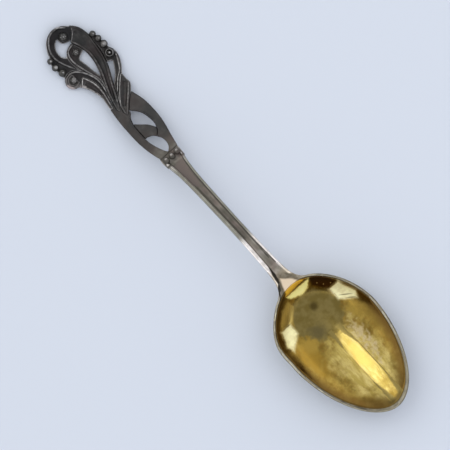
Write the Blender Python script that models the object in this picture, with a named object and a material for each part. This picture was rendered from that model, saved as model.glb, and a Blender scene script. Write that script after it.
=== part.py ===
"""A souvenir spoon: gilt bowl, reeded stem and an openwork scroll handle edged with beads.

Plan points are in millimetres on the spoon's own axis. The first number is the station, which is
the distance from the end of the handle toward the bowl's tip, and the second is the distance to
the upper side. The handle lies on a curved sheet, and the plan outlines are cut out of it.
"""
import math

import bmesh
import bpy
import numpy as np

MM = 0.001

# whole spoon
LENGTH = 136.5
SEAM = 0.1              # solder seam between neighbouring pieces
END_LEVEL = 2.1         # middle of the metal above the table at the end of the handle
ARCH_LEVEL = 10.9       # and at the top of the stem's arch

# openwork handle, heights above the middle of the metal
BACK = 0.9              # plain back below the middle
FIELD = 0.05            # sunk grounds of the scrolls
LEAF = 0.5              # faces of the leaves and straps
WIRE = 0.3              # radius of the raised edges
FINE_WIRE = 0.24
TAPER = 0.45            # share of its radius that a wire keeps at its ends
FLUTE = 0.32            # depth of the hollow along a leaf
HANDLE_END = 45.3       # where the openwork meets the collar

# stem
COLLAR_LENGTH = 2.8
STEM_HALF = 1.85        # half width at the waist of the stem
THREAD = 0.75           # width of the thread along the upper edge
LOWER_THREAD = 1.2      # and along the lower edge
THREAD_RISE = 0.36
STEM_THICK = 1.7
NECK_LENGTH = 6.6       # from the end of the stem to the bowl's heel

# bowl
HALF_WIDTH = 14.25
TIP_REACH = 25.5        # from the widest place to the tip
HEEL_REACH = 18.4       # from the widest place back to the heel
POLE_BACK = 7.0         # the deepest place lies this far behind the widest
SWELL = 1.2             # the lower side bulges out by this much
SWELL_BACK = 9.0        # behind the widest place
SWELL_REACH = 8.5       # half the length of the bulge
RIM = 0.55              # width of the rim
RIM_EDGE = 0.25         # thickness at the edge of the rim
DEPTH = 6.9             # inside, from the rim at the deepest place
WALL = 0.9              # at the bottom
FULLNESS = 2.3          # how flat the bottom and how steep the sides are
FOOT = 0.17             # share of the way to the rim over which the outside is worn flat
FOOT_WEAR = 0.02        # metal worn off there
LINING = 0.2            # thickness of the gold wash

CENTRE = LENGTH - TIP_REACH         # station of the widest place
POLE = CENTRE - POLE_BACK
HEEL = CENTRE - HEEL_REACH
STEM_START = HANDLE_END + COLLAR_LENGTH + SEAM
STEM_END = HEEL - NECK_LENGTH
RIM_LEVEL = DEPTH + WALL            # rim above the table at the deepest place

RINGS = (0.15, 0.3, 0.45, 0.6, 0.72, 0.83, 0.92, 1.0)


def clear_scene():
    for thing in list(bpy.data.objects):
        bpy.data.objects.remove(thing, do_unlink=True)


def collection(name):
    made = bpy.data.collections.new(name)
    bpy.context.scene.collection.children.link(made)
    return made


def material(name, colour, roughness):
    made = bpy.data.materials.new(name)
    made.use_nodes = True
    shader = made.node_tree.nodes["Principled BSDF"]
    shader.inputs["Base Color"].default_value = (*colour, 1.0)
    shader.inputs["Roughness"].default_value = roughness
    shader.inputs["Metallic"].default_value = 1.0
    return made


def place(station, side, height):
    """Station, side and height in millimetres to a point in metres from the end of the handle."""
    return (station * MM, side * MM, height * MM)


# ---------------------------------------------------------------- curves

def smooth(points, steps=3):
    """Smooth open line through points chosen by hand (a Catmull-Rom spline)."""
    pts = [np.array(p, dtype=float) for p in points]
    if len(pts) < 3:
        return [tuple(p) for p in pts]
    ends = [2 * pts[0] - pts[1]] + pts + [2 * pts[-1] - pts[-2]]
    line = []
    for a, b, c, d in zip(ends, ends[1:], ends[2:], ends[3:]):
        for t in np.linspace(0, 1, steps, endpoint=False):
            line.append(0.5 * (2 * b + (c - a) * t + (2 * a - 5 * b + 4 * c - d) * t ** 2
                               + (3 * b - a - 3 * c + d) * t ** 3))
    line.append(pts[-1])
    return [tuple(p) for p in line]


def along_stem(share):
    """Station at a share of the way from the collar to the bowl's neck."""
    return HANDLE_END + share * (STEM_END - HANDLE_END)


ARC = smooth([(-3, END_LEVEL + 0.7), (0, END_LEVEL), (7, BACK), (18, BACK + 0.4), (32, 3.0),
              (HANDLE_END, 5.5), (along_stem(0.36), 8.5), (along_stem(0.66), ARCH_LEVEL - 0.5),
              (along_stem(0.85), ARCH_LEVEL), (STEM_END, ARCH_LEVEL - 0.5), (HEEL, RIM_LEVEL + 0.7)], 8)


def read(line, station):
    """Second number of a line at a station."""
    return float(np.interp(station, [p[0] for p in line], [p[1] for p in line]))


def arc(station):
    """Middle of the metal above the table, along the handle and stem."""
    return read(ARC, station)


def rim_level(station):
    """Rim of the bowl above the table: it rises a little to the heel and to the tip."""
    off = station - POLE
    return RIM_LEVEL + (0.0062 if off < 0 else 0.0006) * off ** 2


def grown(points, width):
    """Closed outline moved outward by a width."""
    pts = np.array(points)
    before = np.roll(pts, 1, axis=0)
    after = np.roll(pts, -1, axis=0)
    into = pts - before
    out = after - pts
    into /= np.linalg.norm(into, axis=1)[:, None]
    out /= np.linalg.norm(out, axis=1)[:, None]
    normals = np.stack([into[:, 1] + out[:, 1], -into[:, 0] - out[:, 0]], axis=1)
    size = np.maximum(np.linalg.norm(normals, axis=1), 0.7)
    scale = 2.0 / size ** 2
    return [tuple(p) for p in pts + normals * (scale * width)[:, None]]


def outline(*runs):
    """Closed outline of smooth runs that meet in corners, counterclockwise."""
    points = []
    for run in runs:
        points += smooth(run)
    closed = [p for i, p in enumerate(points) if math.dist(p, points[i - 1]) > 0.02]
    pts = np.array(closed)
    turn = np.sum(pts[:, 0] * np.roll(pts[:, 1], -1) - np.roll(pts[:, 0], -1) * pts[:, 1])
    return closed if turn > 0 else closed[::-1]


# ---------------------------------------------------------------- solids

def add_object(name, mesh, group, surface=None, smooth_angle=None):
    made = bpy.data.objects.new(name, mesh)
    group.objects.link(made)
    if surface:
        mesh.materials.clear()
        mesh.materials.append(surface)
    if smooth_angle:
        mesh.shade_smooth()
        mesh.set_sharp_from_angle(angle=math.radians(smooth_angle))
    if group is CUTTERS:
        made.hide_render = True
        made.display_type = "WIRE"
    return made


def loft(name, sections, group, surface=None, smooth_angle=None):
    """Closed solid through sections with the same number of points, with flat end caps."""
    bm = bmesh.new()
    rings = [[bm.verts.new(p) for p in section] for section in sections]
    for one, two in zip(rings, rings[1:]):
        for i in range(len(one)):
            j = (i + 1) % len(one)
            bm.faces.new((one[i], one[j], two[j], two[i]))
    bm.faces.new(rings[0][::-1])
    bm.faces.new(rings[-1])
    bmesh.ops.recalc_face_normals(bm, faces=bm.faces)
    mesh = bpy.data.meshes.new(name)
    bm.to_mesh(mesh)
    bm.free()
    return add_object(name, mesh, group, surface, smooth_angle)


def curve_solid(name, curve, group):
    """Mesh object made of a curve, with its caps welded on."""
    guide = bpy.data.objects.new(name + "_curve", curve)
    group.objects.link(guide)
    bpy.context.view_layer.update()
    evaluated = guide.evaluated_get(bpy.context.evaluated_depsgraph_get())
    mesh = bpy.data.meshes.new_from_object(evaluated)
    bm = bmesh.new()
    bm.from_mesh(mesh)
    bmesh.ops.remove_doubles(bm, verts=bm.verts, dist=1e-6)
    bmesh.ops.recalc_face_normals(bm, faces=bm.faces)
    bm.to_mesh(mesh)
    bm.free()
    made = add_object(name, mesh, group)
    made.matrix_world = guide.matrix_world.copy()
    bpy.data.objects.remove(guide, do_unlink=True)
    return made


def prism(name, points, low=-5.0, high=20.0):
    """Upright block on a plan outline."""
    curve = bpy.data.curves.new(name, "CURVE")
    curve.dimensions = "2D"
    curve.fill_mode = "BOTH"
    curve.extrude = (high - low) / 2 * MM
    line = curve.splines.new("POLY")
    line.points.add(len(points) - 1)
    for knot, (station, side) in zip(line.points, points):
        knot.co = (*place(station, side, 0), 1)
    line.use_cyclic_u = True
    made = curve_solid(name, curve, CUTTERS)
    made.location.z += (high + low) / 2 * MM
    return made


def wire(name, points, radius, height):
    """Round wire along a plan line, lying on the curved sheet at a height."""
    curve = bpy.data.curves.new(name, "CURVE")
    curve.dimensions = "3D"
    curve.bevel_depth = radius * MM
    curve.bevel_resolution = 1
    curve.use_fill_caps = True
    line = curve.splines.new("POLY")
    knots = smooth(points, 2)
    line.points.add(len(knots) - 1)
    for knot, (station, side) in zip(line.points, knots):
        knot.co = (*place(station, side, arc(station) + height), 1)
    for end in (0, -1):
        line.points[end].radius = TAPER
    return curve_solid(name, curve, CUTTERS)


def flute(name, points, top):
    """Round-bottomed hollow along a leaf: each point has the half width of the hollow there."""
    curve = bpy.data.curves.new(name, "CURVE")
    curve.dimensions = "3D"
    curve.bevel_depth = MM
    curve.bevel_resolution = 4
    curve.use_fill_caps = True
    line = curve.splines.new("POLY")
    knots = smooth(points, 2)
    line.points.add(len(knots) - 1)
    for knot, (station, side, half) in zip(line.points, knots):
        knot.radius = (half ** 2 + FLUTE ** 2) / (2 * FLUTE)
        knot.co = (*place(station, side, arc(station) + top + knot.radius - FLUTE), 1)
    return curve_solid(name, curve, CUTTERS)


def sheet(name, low, high, group, surface=None):
    """Piece of the curved sheet over the whole handle, between two heights."""
    sections = []
    for station in np.linspace(-2.5, 50, 36):
        middle = arc(station)
        sections.append([place(station, side, middle + level) for side, level in
                         ((-11, low), (11, low), (11, high), (-11, high))])
    return loft(name, sections, group, surface)


def boolean(target, tool, operation):
    change = target.modifiers.new(operation.lower() + "_" + tool.name, "BOOLEAN")
    change.operation = operation
    change.solver = "EXACT"
    change.object = tool


# ---------------------------------------------------------------- the openwork

OUTLINES = {
    "main_leaf": outline(
        [(2.35, 3.5), (3.2, 4.3), (4.6, 5.15), (7.3, 5.7), (10, 5.4), (13, 5.15), (16.2, 4.3), (18, 3.6),
         (20, 2.6), (22, 1.5), (24, 0.45), (26, -0.45), (28.4, -1.9)],
        [(28.4, -1.9), (27.6, -2.3), (25, -1.9), (22, -0.85), (20, 0.05), (17.8, 0.75), (15, 1.6),
         (13, 2.0), (11, 2.1), (9, 1.85), (7, 1.15), (5.8, 0.75)],
        [(5.8, 0.75), (4.9, 1.9), (3.9, 2.9), (2.35, 3.5)]),
    "side_leaf": outline(
        [(20.9, 5.2), (23, 5.15), (24.2, 5.3), (25.2, 4.75), (26.4, 3.7)],
        [(26.4, 3.7), (27.3, 2.5), (28.5, 1.2), (29.7, 0.0), (30.5, -1.1)],
        [(30.5, -1.1), (29.0, -1.4), (27.2, -0.8), (25, 0.85), (23, 2.7), (21.4, 4.3), (20.9, 5.2)]),
    "lower_leaf": outline(
        [(15.0, -3.3), (16, -2.75), (18, -2.0), (20, -1.7), (22, -1.75), (24, -2.0), (26.5, -2.9)],
        [(26.5, -2.9), (26.3, -3.6)],
        [(26.3, -3.6), (24, -3.3), (22.5, -3.15), (20, -3.7), (18.3, -4.35), (16.9, -5.2)],
        [(16.9, -5.2), (15.9, -4.4), (15.0, -3.3)]),
    "lower_scroll": outline(
        [(24.5, -1.7), (22, -1.0), (20, -0.45), (18, -0.45), (16, -1.05), (14, -2.1), (12.4, -3.4),
         (11.7, -4.7), (11.7, -6.0), (12.4, -7.3), (13.8, -7.95), (15.1, -7.6), (15.9, -6.7), (16.1, -5.9)],
        [(16.1, -5.9), (16.9, -5.2)],
        [(16.9, -5.2), (17.2, -3.0), (20, -2.4), (24, -2.6), (25, -2.3), (24.5, -1.7)]),
    "inner_scroll": outline(
        [(6.1, 1.1), (6.4, -0.4), (7.0, -1.8), (8.3, -2.6), (10, -2.8), (12, -2.6), (14, -1.95), (17, -0.85)],
        [(17, -0.85), (20, -1.0), (24, -1.9), (25.5, -1.6)],
        [(25.5, -1.6), (22, 0.0), (18.3, 1.3)],
        [(18.3, 1.3), (17.8, 0.6), (16, 0.1), (14, -0.15), (12, -0.45), (10.8, -0.7)],
        [(10.8, -0.7), (10.2, 0.2), (9.6, 1.5)],
        [(9.6, 1.5), (9.3, 2.6), (7.6, 2.2), (6.1, 1.1)]),
    "outer_scroll": outline(
        [(5.3, 2.0), (5.2, 0.2), (4.5, -1.2), (2.7, -1.6)],
        [(2.7, -1.6), (3.5, -2.8), (5.0, -3.75), (6.8, -3.85), (8.2, -3.15)],
        [(8.2, -3.15), (8.0, -2.3), (10, -1.9), (14, -1.3), (16.5, -0.8)],
        [(16.5, -0.8), (14, -3.2), (12.4, -5.0), (12.6, -6.9)],
        [(12.6, -6.9), (10.3, -7.1), (8, -7.3), (6.2, -7.2), (5.2, -6.25)],
        [(5.2, -6.25), (3.8, -5.8), (2.0, -4.7), (0.7, -3.0), (0.1, -0.8), (0.8, 1.5), (2.35, 3.3)],
        [(2.35, 3.3), (4.2, 3.9), (5.3, 2.0)]),
    "border_strap": outline(
        [(16.2, 4.3), (16.5, 5.3), (17.1, 5.75)],
        [(17.1, 5.75), (19, 4.6), (20.4, 3.5), (21.6, 2.1)],
        [(21.6, 2.1), (22.4, 1.0), (25, -0.4), (27.2, -1.2)],
        [(27.2, -1.2), (26, 1.0), (24, 2.6), (21.5, 5.0), (20.9, 5.45)],
        [(20.9, 5.45), (19, 6.9), (17, 7.85), (15.2, 8.05), (13.4, 7.45), (10, 7.2), (7.9, 6.9), (7.25, 5.4)],
        [(7.25, 5.4), (8, 5.0), (12, 4.6), (16.2, 3.9), (16.2, 4.3)]),
    "lower_strap": outline(
        [(24.8, -2.2), (28, -0.8), (30.2, -0.1), (31.7, -1.2), (33.4, -1.8)],
        [(33.4, -1.8), (34.4, -2.05), (38.4, -2.1)],
        [(38.4, -2.1), (40, -1.9), (42, -1.3), (44, -0.5), (45.0, 0.2)],
        [(45.0, 0.2), (HANDLE_END, 0.2), (HANDLE_END, -2.7)],
        [(HANDLE_END, -2.7), (42, -3.6), (38, -4.15), (34, -4.2), (30, -4.05), (25.5, -3.5)],
        [(25.5, -3.5), (24.8, -2.2)]),
    "upper_strap": outline(
        [(26.5, 3.9), (30, 4.8), (34, 5.05), (38, 4.75), (42, 3.85), (HANDLE_END, 3.15)],
        [(HANDLE_END, 3.15), (HANDLE_END, 0.3), (45.0, 0.3)],
        [(45.0, 0.3), (44, 1.3), (42.5, 1.7), (40.9, 1.4), (40.0, 0.8)],
        [(40.0, 0.8), (39.0, 2.0), (37.95, 2.4)],
        [(37.95, 2.4), (36.5, 2.75), (34, 2.45), (32, 1.75), (30.0, 0.2)],
        [(30.0, 0.2), (29.0, -0.3), (26, 3.3), (26.5, 3.9)]),
    "cross_leaf": outline(
        [(33.3, -1.8), (34.7, -0.4), (36, 1.05), (38.0, 2.3)],
        [(38.0, 2.3), (39.2, 2.6), (40.6, 1.2)],
        [(40.6, 1.2), (39.1, 0.1), (38.4, -1.5)],
        [(38.4, -1.5), (38.3, -2.5), (34.0, -2.5), (33.3, -1.8)]),
    "collar": outline(
        [(HANDLE_END + SEAM, -2.75), (46.4, -3.05), (HANDLE_END + COLLAR_LENGTH, -2.85)],
        [(HANDLE_END + COLLAR_LENGTH, -2.85), (HANDLE_END + COLLAR_LENGTH, 2.95)],
        [(HANDLE_END + COLLAR_LENGTH, 2.95), (46.4, 3.1), (HANDLE_END + SEAM, 3.05)],
        [(HANDLE_END + SEAM, 3.05), (HANDLE_END + SEAM, -2.75)]),
}

# raised edges of each plate: radius and the points of its line
WIRES = {
    "main_leaf": [
        (WIRE, [(2.7, 3.6), (3.4, 4.15), (4.7, 4.9), (7.3, 5.4), (10, 5.15), (14, 4.6), (17, 3.55),
                (19, 2.55), (22, 1.05), (24, 0.2), (27.4, -1.5)]),
        (WIRE, [(5.8, 1.0), (8, 1.9), (11, 2.6), (14, 2.35), (17, 1.6), (20, 0.35), (23, -0.95), (27, -2.0)]),
        (FINE_WIRE, [(2.7, 3.6), (3.9, 2.95), (4.9, 2.05), (5.8, 1.0)])],
    "side_leaf": [
        (WIRE, [(21.1, 5.0), (22.2, 3.5), (25, 0.85), (27, -0.6), (29.8, -1.25)]),
        (WIRE, [(24.0, 5.0), (25.9, 3.3), (28, 1.1), (30.1, -0.9)])],
    "lower_leaf": [
        (FINE_WIRE, [(16.8, -5.05), (15.9, -4.2), (15.2, -3.35), (17, -2.5), (19, -2.0), (22, -2.0),
                     (26, -2.9)]),
        (FINE_WIRE, [(16.8, -5.05), (18.3, -4.1), (20, -3.5)])],
    "lower_scroll": [
        (WIRE, [(22, -1.2), (20, -0.75), (18, -0.75), (16, -1.35), (14, -2.4), (12.5, -3.8), (12.0, -5.3),
                (12.4, -6.8), (13.7, -7.6), (15.0, -7.2), (15.6, -5.9), (15.2, -4.7)])],
    "inner_scroll": [
        (WIRE, [(6.6, 0.7), (6.85, -0.6), (7.6, -1.8), (10, -2.35), (13, -1.75), (16, -0.8)])],
    "outer_scroll": [
        (WIRE, [(2.0, 2.3), (0.7, 0.8), (0.5, -0.8), (1.0, -2.8), (3.2, -4.7), (6, -5.4), (9, -4.6),
                (11.8, -3.2)])],
    "border_strap": [
        (WIRE, [(15.9, 7.6), (17, 7.3), (19, 6.2), (20.3, 5.2), (21.5, 3.5), (24, 1.1)])],
    "lower_strap": [
        (FINE_WIRE, [(30.1, -0.6), (32, -1.75), (34, -2.15), (38, -2.3)])],
    "upper_strap": [
        (FINE_WIRE, [(30.3, 1.0), (32.5, 2.25), (36.2, 3.1)])],
    "cross_leaf": [],
    "collar": [],
}

# hollows along the leaves: points with the half width of the hollow
FLUTES = {
    "main_leaf": [(4.3, 3.5, 0.3), (5.6, 3.65, 0.75), (7.5, 3.75, 1.1), (10, 3.85, 1.05), (14, 3.5, 0.9),
                  (17, 2.6, 0.75), (20, 1.3, 0.7), (23, -0.2, 0.45), (25, -1.05, 0.3)],
    "side_leaf": [(22.9, 4.5, 0.6), (24.4, 3.1, 0.8), (26.4, 1.2, 0.75), (28.2, -0.3, 0.4)],
    "lower_leaf": [(16.6, -3.9, 0.6), (18, -3.2, 0.6), (20, -2.75, 0.45), (22, -2.6, 0.25)],
}

LEVELS = {
    "main_leaf": LEAF, "side_leaf": LEAF, "lower_leaf": LEAF, "lower_strap": LEAF, "upper_strap": LEAF,
    "lower_scroll": FIELD, "inner_scroll": FIELD, "outer_scroll": FIELD, "border_strap": FIELD,
    "cross_leaf": FIELD, "collar": FIELD,
}

# the neighbours whose edges each plate is trimmed to
NEIGHBOURS = {
    "main_leaf": [],
    "side_leaf": ["main_leaf"],
    "lower_leaf": [],
    "lower_scroll": ["main_leaf", "lower_leaf"],
    "inner_scroll": ["main_leaf", "lower_scroll"],
    "outer_scroll": ["main_leaf", "inner_scroll", "lower_scroll"],
    "border_strap": ["main_leaf", "side_leaf"],
    "lower_strap": ["main_leaf", "side_leaf", "lower_leaf", "lower_scroll", "inner_scroll"],
    "upper_strap": ["side_leaf", "lower_strap"],
    "cross_leaf": ["upper_strap", "lower_strap"],
    "collar": [],
}


def plate(name):
    """One plate of the openwork: the curved sheet with its wires, cut to the plate's outline."""
    made = sheet(name, -BACK, LEVELS[name], SPOON, SILVER)
    if name in FLUTES:
        boolean(made, flute(name + "_flute", FLUTES[name], LEVELS[name]), "DIFFERENCE")
    for number, (radius, points) in enumerate(WIRES[name]):
        boolean(made, wire(f"{name}_wire_{number}", points, radius, LEVELS[name]), "UNION")
    boolean(made, prism(name + "_outline", OUTLINES[name]), "INTERSECT")
    for neighbour in NEIGHBOURS[name]:
        cutter = bpy.data.objects.get(neighbour + "_trim")
        if cutter is None:
            cutter = prism(neighbour + "_trim", grown(OUTLINES[neighbour], SEAM))
        boolean(made, cutter, "DIFFERENCE")
    return made


# ---------------------------------------------------------------- beads, bosses and grains

UPPER_BEADS = [(8.1, 6.55, 0.85), (9.95, 6.85, 0.9), (12.05, 6.95, 1.07), (14.8, 6.5, 1.4)]
LOWER_BEADS = [(5.95, -6.8, 0.8), (8.1, -6.9, 0.95), (10.35, -6.45, 1.05)]
HOLLOW = (0.95, 1.12)    # hollow of the largest bead: radius, and how far it lies above the dome's middle
PEARL = (0.45, 0.49)     # pearl in the hollow
BOSSES = {"outer_boss": (3.45, 0.15, 1.2), "inner_boss": (8.75, -0.1, 0.95),
          "lower_boss": (13.9, -5.5, 0.85)}
GRAINS = [(46.5, 2.0, 0.85), (46.6, 0.15, 0.85), (46.5, -1.75, 0.85)]


def ball(name, station, side, radius, lift, group, stretch=1.0):
    """Ball of metal over the sunk ground."""
    bm = bmesh.new()
    bmesh.ops.create_uvsphere(bm, u_segments=16, v_segments=8, radius=radius * MM)
    bmesh.ops.scale(bm, vec=(stretch, 1, 1), verts=bm.verts)
    mesh = bpy.data.meshes.new(name)
    bm.to_mesh(mesh)
    bm.free()
    made = add_object(name, mesh, group, SILVER, 60)
    made.location = place(station, side, arc(station) + FIELD + lift)
    return made


def dome(name, station, side, radius, stretch=1.0):
    """Round grain that sits on the sunk ground with a flat foot."""
    made = ball(name, station, side, radius, radius / 3, SPOON, stretch)
    boolean(made, bpy.data.objects["seat"], "DIFFERENCE")
    return made


def cup(name, station, side, radius):
    """The largest bead: a dome with a round hollow and a pearl in it."""
    made = dome(name, station, side, radius)
    for kind, operation, (size, lift) in (("_hollow", "DIFFERENCE", HOLLOW), ("_pearl", "UNION", PEARL)):
        boolean(made, ball(name + kind, station, side, size, radius / 3 + lift, CUTTERS), operation)
    return made


# ---------------------------------------------------------------- stem and neck

STEM_WIDTHS = smooth([(HANDLE_END + COLLAR_LENGTH, 2.85), (along_stem(0.12), 2.5), (along_stem(0.19), 2.2),
                      (along_stem(0.31), 2.0), (along_stem(0.6), STEM_HALF),
                      (along_stem(0.8), STEM_HALF + 0.05), (along_stem(0.93), STEM_HALF + 0.2),
                      (STEM_END, STEM_HALF + 0.3)], 4)


def stem_edge(half, thread):
    """Half of the stem's section, from the panel over the thread to the back: side and height."""
    return [(half - thread, 0.0), (half - 0.85 * thread, 0.6 * THREAD_RISE), (half - thread / 2, THREAD_RISE),
            (half - 0.15 * thread, 0.6 * THREAD_RISE), (half, -0.15), (half, -0.5),
            (0.8 * half, 0.25 - STEM_THICK), (0.4 * half, 0.05 - STEM_THICK)]


def stem_section(station):
    """Sunk panel between two round threads, over a rounded back."""
    half = read(STEM_WIDTHS, station)
    lower = [(-side, height) for side, height in stem_edge(half, LOWER_THREAD)[::-1]]
    points = stem_edge(half, THREAD) + [(0, -STEM_THICK)] + lower
    return [place(station, side, arc(station) + LEAF + height) for side, height in points]


def stem():
    sections = [stem_section(station) for station in np.linspace(STEM_START, STEM_END, 24)]
    return loft("stem", sections, SPOON, SILVER, 40)


# ---------------------------------------------------------------- bowl

NECK = smooth([(STEM_END + SEAM, STEM_HALF + 0.3), (STEM_END + 2, STEM_HALF + 0.4),
               (HEEL - 2.6, STEM_HALF + 0.6), (HEEL - 1.6, STEM_HALF + 0.9), (HEEL - 0.6, STEM_HALF + 1.3),
               (HEEL + 0.4, STEM_HALF + 2.0), (HEEL + 1.4, 0.35 * HALF_WIDTH)], 2)
TAB = smooth([(STEM_END, 1.4), (HEEL - 2.6, 1.3), (HEEL - 0.6, 1.8), (HEEL + 0.4, 2.6), (HEEL + 1.4, 3.9),
              (HEEL + 2.4, 5.35), (HEEL + 3.4, 6.7), (HEEL + 4.4, 8.1), (HEEL + 6, HALF_WIDTH)], 3)
STEM_TOP = arc(STEM_END) + LEAF + 0.1
RIDGE = smooth([(STEM_END, STEM_TOP), (STEM_END + 2.5, STEM_TOP - 0.8),
                (HEEL - 1.5, rim_level(HEEL) + 0.35),
                (HEEL + 0.6, rim_level(HEEL + 0.6))], 4)
STEM_BOTTOM = arc(STEM_END) + LEAF - STEM_THICK
KEEL = smooth([(STEM_END, STEM_BOTTOM), (STEM_END + 2, STEM_BOTTOM - 0.5), (HEEL - 2, STEM_BOTTOM - 1.6),
               (HEEL, STEM_BOTTOM - 2.8), (HEEL + 2, STEM_BOTTOM - 3.9), (HEEL + 4, STEM_BOTTOM - 4.4),
               (HEEL + 8, STEM_BOTTOM)], 4)


def swell(station, side):
    """Bulge of the lower side of the bowl, which isn't quite even."""
    off = (station - CENTRE + SWELL_BACK) / SWELL_REACH
    return SWELL * max(0.0, 1 - off ** 2) ** 2 if side < 0 else 0.0


def egg(angle, inset):
    """Point of the egg-shaped rim at an angle round the widest place, moved in by an inset."""
    c, s = math.cos(angle), math.sin(angle)
    reach, m, n = (TIP_REACH, 1.8, 1.9) if c > 0 else (HEEL_REACH, 1.75, 2.0)
    station = CENTRE + math.copysign((reach - inset) * abs(c) ** (2 / m), c)
    side = math.copysign((HALF_WIDTH - inset) * abs(s) ** (2 / n), s)
    return station, side - swell(station, side)


def egg_table(inset):
    """Directions from the deepest place all round, and the distance to the inset rim in each."""
    polar = sorted((math.atan2(side, station - POLE), math.hypot(station - POLE, side))
                   for station, side in (egg(math.pi * k / 180, inset) for k in range(-179, 181)))
    return [p[0] for p in polar], [p[1] for p in polar]


def reach_at(angle, table):
    return float(np.interp(angle, *table, period=2 * math.pi))


def half_of_outline(sign):
    """One side of the outline of bowl and neck, from the tip to the end face at the stem."""
    rim = [egg(sign * math.pi * k / 32, 0) for k in range(32)]
    last = NECK[-1][0]
    neck = [(station, sign * side) for station, side in NECK[::-1]]
    points = [p for p in rim if p[0] > last + 0.5] + neck
    end = points[-1]
    return points + [(end[0], end[1] * share) for share in (0.7, 0.35, 0.0)]


def soft_least(a, b, blend):
    """The lesser of two heights, with a fillet where they cross."""
    share = max(0.0, min(1.0, 0.5 + 0.5 * (b - a) / blend))
    return b + (a - b) * share - blend * share * (1 - share)


def half_width(station, side):
    """Half width of the outline of neck and bowl at a station, on one side."""
    rim = [egg(math.copysign(math.pi * k / 90, side), 0) for k in range(90, 44, -1)]
    return read(NECK + [(x, abs(y)) for x, y in rim if x > NECK[-1][0] + 0.5], station)


def top_level(station, side):
    """Tab, shoulders and rim, outside the hollow of the bowl."""
    ridge = read(RIDGE, station) if station < RIDGE[-1][0] else rim_level(station)
    half = half_width(station, side)
    tab = min(read(TAB, station), half - RIM_EDGE)
    drop = np.interp(station, [STEM_END, HEEL, HEEL + 4, HEEL + 6], [0.75, 0.85, 0.3, 0.08])
    beyond = max(0.0, (abs(side) - tab) / (half - tab))
    return ridge - drop * min(beyond, 1.0) ** 1.5


def bottom_level(station, side, share):
    """Outside of the bowl, filleted into the round back of the neck."""
    drop = (RIM_LEVEL - RIM_EDGE + FOOT_WEAR) / (1 - FOOT ** FULLNESS)
    dish = rim_level(station) - RIM_EDGE - drop * (1 - share ** FULLNESS)
    keel = read(KEEL, station)
    half = half_width(station, side)
    edge = top_level(station, math.copysign(half, side)) - 0.35
    back = keel + (edge - keel) * min(1.0, abs(side) / half) ** 2.2
    return max(0.0, soft_least(dish, back, 1.2))


def bowl_rings(insets_and_depths):
    """Rings of the hollow for a list of insets, depths and shares, deepest first."""
    rings = []
    for inset, depth, share in insets_and_depths:
        table = egg_table(inset)
        ring = []
        for angle in DIRECTIONS:
            distance = share * reach_at(angle, table)
            station, side = POLE + distance * math.cos(angle), distance * math.sin(angle)
            ring.append(place(station, side, rim_level(station) - depth * (1 - share ** FULLNESS)))
        rings.append(ring)
    return rings


def shoulder_ring(part, level):
    """Ring between the edge of the hollow, part 0, and the outline of bowl and neck, part 1."""
    ring = []
    edge, rim = egg_table(RIM), egg_table(0)
    for angle, outline_reach in zip(DIRECTIONS, OUTLINE_REACH):
        hollow = reach_at(angle, edge)
        distance = hollow + part * (outline_reach - hollow)
        station, side = POLE + distance * math.cos(angle), distance * math.sin(angle)
        share = distance / reach_at(angle, rim)
        ring.append(place(station, side, level(station, side, share)))
    return ring


def outside_ring(part):
    """Ring of the outside, from the middle, part 0, to the edge of the hollow, part 1."""
    edge, rim = egg_table(RIM), egg_table(0)
    ring = []
    for angle in DIRECTIONS:
        distance = part * reach_at(angle, edge)
        station, side = POLE + distance * math.cos(angle), distance * math.sin(angle)
        share = distance / reach_at(angle, rim)
        ring.append(place(station, side, bottom_level(station, side, share)))
    return ring


def bowl():
    """One loft: up the hollow, over the rim, the tab and the shoulders, and back under the bowl."""
    parts = (0.2, 0.4, 0.6, 0.8, 1.0)
    rings = bowl_rings([(RIM, DEPTH, share) for share in RINGS])
    rings += [shoulder_ring(part, lambda x, y, share: top_level(x, y)) for part in parts]
    rings += [shoulder_ring(part, bottom_level) for part in parts[::-1]]
    rings += [outside_ring(part) for part in RINGS[::-1]]
    return loft("bowl", rings, SPOON, SILVER, 35)


def gilt_lining():
    """Thin skin of gold wash that lines the bowl up to the rim."""
    shares = RINGS[:-1] + (0.985,)
    outer = [(RIM + SEAM, DEPTH - SEAM, share) for share in shares]
    inner = [(RIM + SEAM + LINING, DEPTH - SEAM - LINING, share) for share in shares]
    return loft("gilt_lining", bowl_rings(inner + outer[::-1]), SPOON, GILT, 35)


# ---------------------------------------------------------------- the spoon

clear_scene()
SPOON = collection("souvenir_spoon")
CUTTERS = collection("cutters")
SILVER = material("silver", (0.42, 0.40, 0.37), 0.35)
GILT = material("gilt", (0.62, 0.48, 0.17), 0.3)

OUTLINE = half_of_outline(1) + half_of_outline(-1)[-2:0:-1]
DIRECTIONS = [math.atan2(side, station - POLE) for station, side in OUTLINE]
OUTLINE_REACH = [math.hypot(station - POLE, side) for station, side in OUTLINE]

sheet("seat", -8.0, FIELD + SEAM, CUTTERS)
for plate_name in OUTLINES:
    plate(plate_name)
for bead_number, (x, y, r) in enumerate(UPPER_BEADS, 1):
    bead = (cup if bead_number == len(UPPER_BEADS) else dome)(f"upper_bead_{bead_number}", x, y, r)
    boolean(bead, bpy.data.objects["main_leaf_trim"], "DIFFERENCE")
for bead_number, (x, y, r) in enumerate(LOWER_BEADS, 1):
    dome(f"lower_bead_{bead_number}", x, y, r)
for boss_name, (x, y, r) in BOSSES.items():
    dome(boss_name, x, y, r)
for grain_number, (x, y, r) in enumerate(GRAINS, 1):
    dome(f"collar_grain_{grain_number}", x, y, r, 1.1)
stem()
bowl()
gilt_lining()

middle = bpy.data.objects.new("middle_of_the_spoon", None)
bpy.context.scene.collection.objects.link(middle)
middle.location.x = -LENGTH / 2 * MM
for piece in list(SPOON.objects) + list(CUTTERS.objects):
    piece.parent = middle
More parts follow.
